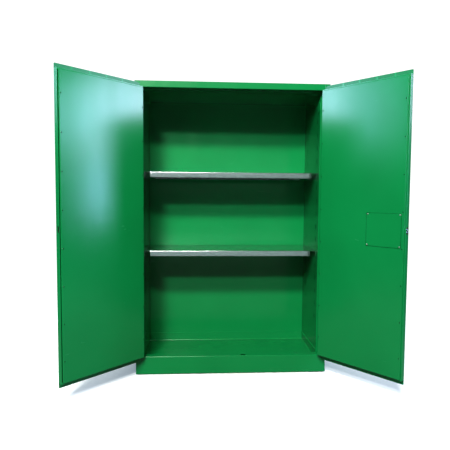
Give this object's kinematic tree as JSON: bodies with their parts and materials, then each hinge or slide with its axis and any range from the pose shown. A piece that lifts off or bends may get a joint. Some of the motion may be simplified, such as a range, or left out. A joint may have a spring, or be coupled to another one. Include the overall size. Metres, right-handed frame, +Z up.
{
  "type": "flammable storage cabinet",
  "caption": "Floor-standing double-wall steel safety cabinet, two piano-hinged doors with a three-point latch, adjustable shelves over a leak-proof sump.",
  "frame": {"origin": "on the floor, at the middle of the outer back face", "axes": "+X to the right seen from the front, +Y out of the back, +Z up"},
  "size_m": [1.7022, 0.8797, 1.65],
  "materials": {
    "green_powder_coat": "semi-gloss powder coat with fine orange peel",
    "galvanised_steel": "galvanised sheet with faint spangle",
    "zinc_plated_steel": "bright zinc plating",
    "chrome": "polished chrome",
    "black_plastic": "fine-textured black nylon"
  },
  "bodies": {
    "cabinet": {"left_side_panel": "green_powder_coat", "right_side_panel": "green_powder_coat", "back_panel": "green_powder_coat", "top_panel": "green_powder_coat", "header": "green_powder_coat", "front_sill": "green_powder_coat", "base_panel": "green_powder_coat", "left_liner": "green_powder_coat", "right_liner": "green_powder_coat", "back_liner": "green_powder_coat", "ceiling_liner": "green_powder_coat", "sump_tray": "green_powder_coat", "left_wall_channels": "zinc_plated_steel", "right_wall_channels": "zinc_plated_steel", "back_wall_channels": "zinc_plated_steel", "foot_nut_plates": "zinc_plated_steel", "lower_vent_body": "green_powder_coat", "lower_vent_guard": "green_powder_coat", "upper_vent_body": "green_powder_coat", "upper_vent_guard": "green_powder_coat", "ground_stud": "zinc_plated_steel", "ground_nut": "zinc_plated_steel", "upper_shelf_hooks": "galvanised_steel", "lower_shelf_hooks": "galvanised_steel", "left_hinge_body_leaf": "green_powder_coat", "left_hinge_pin": "zinc_plated_steel", "right_hinge_body_leaf": "green_powder_coat", "right_hinge_pin": "zinc_plated_steel", "foot_front_left": "black_plastic", "foot_front_right": "black_plastic", "foot_rear_left": "black_plastic", "foot_rear_right": "black_plastic"},
    "left_door": {"left_door_skin": "green_powder_coat", "left_door_frame": "green_powder_coat", "left_door_inner_panel": "green_powder_coat", "left_door_rivets": "green_powder_coat", "left_door_strike_box": "black_plastic", "left_hinge_door_leaf": "green_powder_coat"},
    "right_door": {"right_door_skin": "green_powder_coat", "right_door_frame": "green_powder_coat", "right_door_inner_panel": "green_powder_coat", "right_door_rivets": "green_powder_coat", "right_hinge_door_leaf": "green_powder_coat", "lock_cover_plate": "green_powder_coat", "lock_cover_screws": "green_powder_coat", "latch_case": "zinc_plated_steel", "latch_face_plate": "chrome", "rod_guides": "zinc_plated_steel", "handle_plate": "black_plastic"},
    "handle": {"handle_lever": "chrome", "handle_spindle": "zinc_plated_steel"},
    "key": {"key_plug": "chrome"},
    "latch_bolt": {"latch_bolt": "chrome"},
    "top_rod": {"top_rod": "zinc_plated_steel"},
    "bottom_rod": {"bottom_rod": "zinc_plated_steel"},
    "upper_shelf": {"upper_shelf": "galvanised_steel"},
    "lower_shelf": {"lower_shelf": "galvanised_steel"},
    "lower_vent_cap": {"lower_vent_cap": "black_plastic"},
    "upper_vent_cap": {"upper_vent_cap": "black_plastic"}
  },
  "joints": [
    {"name": "left_door_hinge", "type": "hinge", "parent": "cabinet", "child": "left_door", "pos_m": [-0.5136, -0.464, 0.86], "axis": [0, 0, -1], "range_deg": [-134, 46]},
    {"name": "right_door_hinge", "type": "hinge", "parent": "cabinet", "child": "right_door", "pos_m": [0.5136, -0.464, 0.86], "axis": [0, 0, 1], "range_deg": [-129, 51]},
    {"name": "handle_turn", "type": "hinge", "parent": "right_door", "child": "handle", "pos_m": [0.78106, -0.79429, 0.858], "axis": [-0.7771, -0.6293, 0], "range_deg": [0, 90]},
    {"name": "key_turn", "type": "hinge", "parent": "handle", "child": "key", "pos_m": [0.80127, -0.77792, 0.858], "axis": [-0.7771, -0.6293, 0], "range_deg": [0, 90]},
    {"name": "top_rod_slide", "type": "slide", "parent": "right_door", "child": "top_rod", "axis": [0, 0, 1], "range_m": [0, 0.018]},
    {"name": "bottom_rod_slide", "type": "slide", "parent": "right_door", "child": "bottom_rod", "axis": [0, 0, -1], "range_m": [0, 0.018]},
    {"name": "latch_bolt_slide", "type": "slide", "parent": "right_door", "child": "latch_bolt", "axis": [0.6293, -0.7771, 0], "range_m": [0, 0.012]},
    {"name": "upper_shelf_lift", "type": "slide", "parent": "cabinet", "child": "upper_shelf", "axis": [0, 0, 1], "range_m": [0, 0.03]},
    {"name": "lower_shelf_lift", "type": "slide", "parent": "cabinet", "child": "lower_shelf", "axis": [0, 0, 1], "range_m": [0, 0.03]},
    {"name": "lower_vent_cap_pull", "type": "slide", "parent": "cabinet", "child": "lower_vent_cap", "axis": [-1, 0, 0], "range_m": [0, 0.03]},
    {"name": "upper_vent_cap_pull", "type": "slide", "parent": "cabinet", "child": "upper_vent_cap", "axis": [1, 0, 0], "range_m": [0, 0.03]}
  ],
  "couplings": [
    {"joint": "top_rod_slide", "follows": "handle_turn", "m_per_rad": 0.011458},
    {"joint": "bottom_rod_slide", "follows": "handle_turn", "m_per_rad": 0.011458},
    {"joint": "latch_bolt_slide", "follows": "handle_turn", "m_per_rad": 0.007638}
  ]
}
